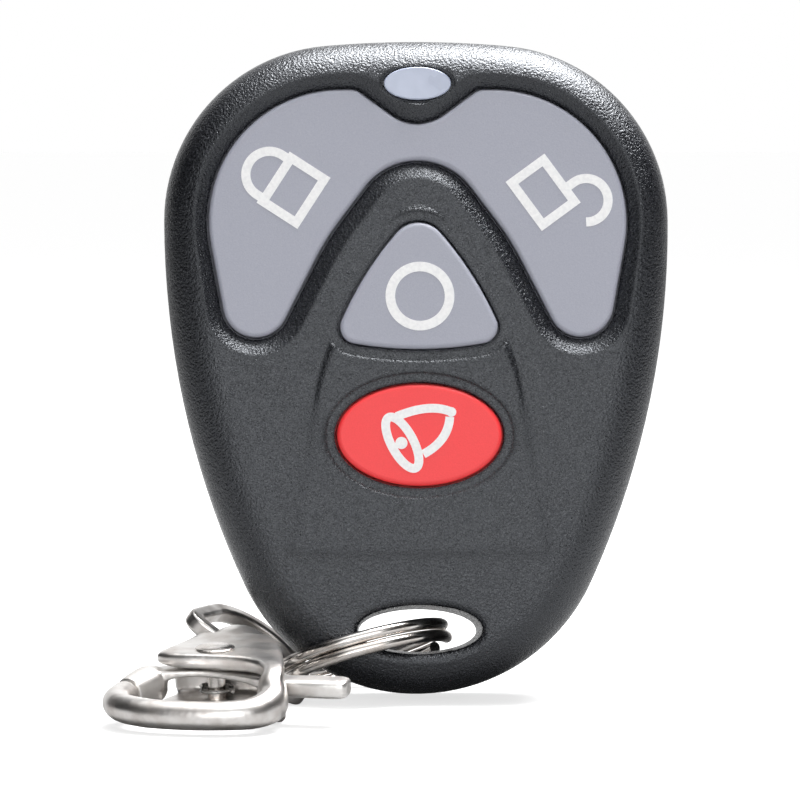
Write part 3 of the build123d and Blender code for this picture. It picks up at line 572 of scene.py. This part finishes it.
# %% Melting lofts into one cast piece
def melted(name, node, body, material, shapes, cell, rounds):
    """Joins closed shapes, remeshes them on a voxel grid, smooths the union and lets it take a node's
    place."""
    points, faces, start = [], [], 0
    for shape_points, shape_faces in shapes:
        world_points = (clasp_centre + shape_points[:, :1] * clasp_across + shape_points[:, 1:2] * clasp_back
                        + shape_points[:, 2:] * clasp_up) * mm
        points.append(world_points)
        faces += [[i + start for i in face] for face in shape_faces]
        start += len(world_points)
    piece = linked(name, outward_mesh(name + "_rough", np.vstack(points), faces))
    remesh = piece.modifiers.new("melt", "REMESH")
    remesh.mode = "VOXEL"
    remesh.voxel_size = cell
    ease_off = piece.modifiers.new("ease", "SMOOTH")
    ease_off.factor = 0.5
    ease_off.iterations = rounds
    built = piece.evaluated_get(bpy.context.evaluated_depsgraph_get())
    data = bpy.data.meshes.new_from_object(built)
    piece.modifiers.clear()
    piece.data = data
    data.name = name
    data.materials.clear()
    data.materials.append(material)
    data.polygons.foreach_set("use_smooth", [True] * len(data.polygons))
    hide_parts(node)
    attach(piece, body)
    print(name, "has", len(data.polygons), "faces and takes the place of", node)


# %% The casting: loop, two plates, back block and cup
# Rows of a loft are (across, back, up, half width, half height) in millimetres from the middle of the pin,
# and plate edges are (back, left, right).
bar = 1.3
plate_half = 0.72
lower_plate_level = -1.9
loop_rows = [(6.4, -5.0, 0.85, 1.32, 2.15), (6.7, -6.1, 0.65, 1.35, 2.05), (7.05, -7.7, 0.3, 1.35, 1.7),
             (5.9, -9.9, 0.0, 1.32, 1.4), (3.5, -11.1, 0, bar, bar),
             (0.4, -11.4, 0, bar, bar), (-3.3, -10.95, 0, bar, bar), (-5.75, -9.6, 0, bar, bar),
             (-7.0, -7.8, 0, bar, bar), (-7.2, -6.2, 0, bar, bar), (-7.1, -4.55, 0, bar, bar)]
plate_edges = [(-6.8, 6.5, 7.6), (-5.6, 6.0, 7.6), (-4.3, 5.3, 7.4), (-3.2, 4.3, 7.15), (-2.5, 2.4, 6.95),
               (-2.15, -2.4, 6.9), (-1.7, -4.3, 6.75), (-0.9, -5.2, 6.5), (0.8, -4.8, 6.0), (3.9, -3.8, 4.9),
               (6.2, -3.4, 3.6)]
slope_places, slope_levels = [-7.0, -5.2, -2.5, 3.0, 6.2], [1.4, 2.35, 2.5, 2.6, 2.6]
top_slope = np.interp([edge[0] for edge in plate_edges], slope_places, slope_levels)
upper_plate = [((left + right) / 2, back, level, (right - left) / 2, plate_half)
               for (back, left, right), level in zip(plate_edges, top_slope)]
lower_plate = [((left + right) / 2, back, lower_plate_level, (right - left) / 2, plate_half)
               for back, left, right in plate_edges[3:]]
block_rows = [(0.2, 2.1, 0.3, 4.8, 2.5), (0.2, 4.2, 0.3, 4.1, 2.7), (0.1, 6.1, 0.1, 3.4, 2.9)]
cup_profile = [(0.01, 4.6), (2.6, 4.6), (3.2, 5.4), (3.5, 6.4), (3.55, 8.3), (3.45, 8.68), (3.0, 8.68),
               (2.9, 8.4), (2.9, 6.45), (0.01, 6.45)]
casting_shapes = [loft(loop_rows), loft(upper_plate, power=5, straight=True),
                  loft(lower_plate, power=4, straight=True), loft(block_rows, power=4),
                  turned_shape(cup_profile)]
melted("cast_clasp", "claw_casting", "claw", cast_nickel, casting_shapes, cell=0.17 * mm, rounds=20)

# %% The lever: head, flat arm and thumb tab
# An open fault: turned by more than three to six degrees, the head cuts into the end of the loop, by 1.0 mm
# at the joint's limit. A shorter head, or a loop that ends further forward, would leave it room.
head_rows = [(-7.0, -4.1, 0, 1.3, 1.3), (-6.6, -2.9, 0.05, 1.5, 1.5), (-6.0, -1.6, 0.1, 1.68, 1.7),
             (-5.5, -0.6, 0.15, 1.6, 1.65)]
arm_rows = [(-6.0, -1.0, 0.8, 1.1, 0.7), (-3.0, -0.3, 1.2, 1.35, 0.38), (0, 0.1, 1.2, 1.5, 0.38),
            (3.5, -0.9, 1.1, 1.45, 0.45), (6.2, -2.4, 0.9, 1.4, 0.7)]
tab_rows = [(5.6, -2.2, 0.8, 1.3, 0.7), (7.2, -2.8, 0.75, 1.4, 0.8), (10.0, -3.1, 0.8, 1.5, 0.85),
            (12.2, -3.2, 0.8, 1.4, 0.85), (12.75, -3.2, 0.8, 1.15, 0.75), (12.95, -3.2, 0.8, 0.8, 0.6)]
lever_shapes = [loft(head_rows, power=2.3), loft(arm_rows, power=5), loft(tab_rows, power=4)]
melted("worn_lever", "gate_lever", "gate", worn_nickel, lever_shapes, cell=0.13 * mm, rounds=6)

# %% The rivet through both plates
pin_profile = [(0.01, -2.72), (1.3, -2.72), (1.3, -2.5), (0.8, -2.4), (0.8, 3.2), (1.75, 3.25), (1.8, 3.38),
               (1.3, 3.55), (0.01, 3.62)]
melted("rivet_pin", "gate_pin", "claw", wire_nickel, [turned_shape(pin_profile, upright=True)],
       cell=0.1 * mm, rounds=2)

# %% [markdown]
# ## Floor, light and background
#
# The photograph was taken in a light tent: white behind, a large soft light above and in front, and dark
# flags at both sides. The black case hardly has a colour of its own, and what it shows are these
# reflections: a grey sheen on the face, dark bands down its sides, thin bright rims where the white
# background shows at a grazing angle, and a glittering top edge. So the world is a map of radiance by
# direction, and only the camera, or a ray that comes through something clear, sees plain white instead. The
# floor lights the object less than it shows, for the same reason.

# %% Floor
floor_drop = 30.26 * mm
floor_half = 3.0
floor_lit, floor_shown, floor_glow = 0.3, 0.45, 0.7
floor_data = bpy.data.meshes.new("floor")
floor_data.from_pydata([(-floor_half, -floor_half, -floor_drop), (floor_half, -floor_half, -floor_drop),
                        (floor_half, floor_half, -floor_drop), (-floor_half, floor_half, -floor_drop)],
                       [], [(0, 1, 2, 3)])
floor = linked("floor", floor_data)
paper = bpy.data.materials.new("white_paper")
paper.use_nodes = True
nodes, links = paper.node_tree.nodes, paper.node_tree.links
nodes.clear()
path = nodes.new("ShaderNodeLightPath")
lit = nodes.new("ShaderNodeBsdfDiffuse")
lit.inputs["Color"].default_value = (floor_lit, floor_lit, floor_lit, 1)
shown = nodes.new("ShaderNodeBsdfDiffuse")
shown.inputs["Color"].default_value = (floor_shown, floor_shown, floor_shown, 1)
glow = nodes.new("ShaderNodeEmission")
glow.inputs["Strength"].default_value = floor_glow
both = nodes.new("ShaderNodeAddShader")
choice = nodes.new("ShaderNodeMixShader")
out = nodes.new("ShaderNodeOutputMaterial")
links.new(shown.outputs[0], both.inputs[0])
links.new(glow.outputs[0], both.inputs[1])
links.new(path.outputs["Is Camera Ray"], choice.inputs["Fac"])
links.new(lit.outputs[0], choice.inputs[1])
links.new(both.outputs[0], choice.inputs[2])
links.new(choice.outputs[0], out.inputs["Surface"])
floor_data.materials.append(paper)

# %% World: radiance by direction
world = bpy.data.worlds.new("light_tent")
bpy.context.scene.world = world
world.use_nodes = True
nodes, links = world.node_tree.nodes, world.node_tree.links
nodes.clear()

# Each step is (from, to, strength before, strength after) along one component of the direction.
flag_step = (0.25, 0.6, 1.0, 0.0)
box_foot_step = (-0.2, 0.12, 0.4, 2.9)
box_head_step = (0.28, 0.7, 1.0, 0.15)
behind_step = (0.55, 0.9, 0.0, 1.0)
not_behind_step = (0.0, 0.4, 1.0, 0.0)
ceiling_step = (0.75, 0.95, 0.0, 1.2)

direction = nodes.new("ShaderNodeTexCoord")
apart = nodes.new("ShaderNodeSeparateXYZ")
links.new(direction.outputs["Generated"], apart.inputs[0])
to_right, to_back, to_top = apart.outputs
flags = spread(world, combine(world, "ABSOLUTE", to_right), *flag_step, smooth=True)
box_foot = spread(world, to_top, *box_foot_step, smooth=True)
box_head = spread(world, to_top, *box_head_step, smooth=True)
behind = spread(world, to_back, *behind_step, smooth=True)
not_behind = spread(world, to_back, *not_behind_step, smooth=True)
ceiling = spread(world, to_top, *ceiling_step, smooth=True)
in_front = combine(world, "MULTIPLY", combine(world, "MULTIPLY", flags, box_foot), box_head)
in_front = combine(world, "MULTIPLY", in_front, not_behind)
radiance = combine(world, "ADD", combine(world, "ADD", in_front, behind), ceiling)
tent = nodes.new("ShaderNodeBackground")
links.new(radiance, tent.inputs["Strength"])
white = nodes.new("ShaderNodeBackground")
path = nodes.new("ShaderNodeLightPath")
seen = combine(world, "MAXIMUM", path.outputs["Is Camera Ray"], path.outputs["Is Transmission Ray"])
choice = nodes.new("ShaderNodeMixShader")
links.new(seen, choice.inputs["Fac"])
links.new(tent.outputs[0], choice.inputs[1])
links.new(white.outputs[0], choice.inputs[2])
out = nodes.new("ShaderNodeOutputWorld")
links.new(choice.outputs[0], out.inputs["Surface"])
for background in (tent, white):
    background.inputs["Color"].default_value = (1, 1, 1, 1)


# %% Soft lamp for the top edge
def soft_lamp(name, place, aim, size, power):
    """A square area lamp at a place, aimed at a point; places in millimetres."""
    data = bpy.data.lights.new(name, "AREA")
    data.size = size * mm
    data.energy = power
    lamp = linked(name, data)
    lamp.location = [v * mm for v in place]
    back = np.array(place, float) - np.array(aim, float)
    back /= np.linalg.norm(back)
    lamp.rotation_euler = (math.acos(back[2]), 0.0, math.atan2(back[0], -back[1]))


soft_lamp("top_lamp", place=(95, 70, 330), aim=(10, 0, 25), size=240, power=4.5)
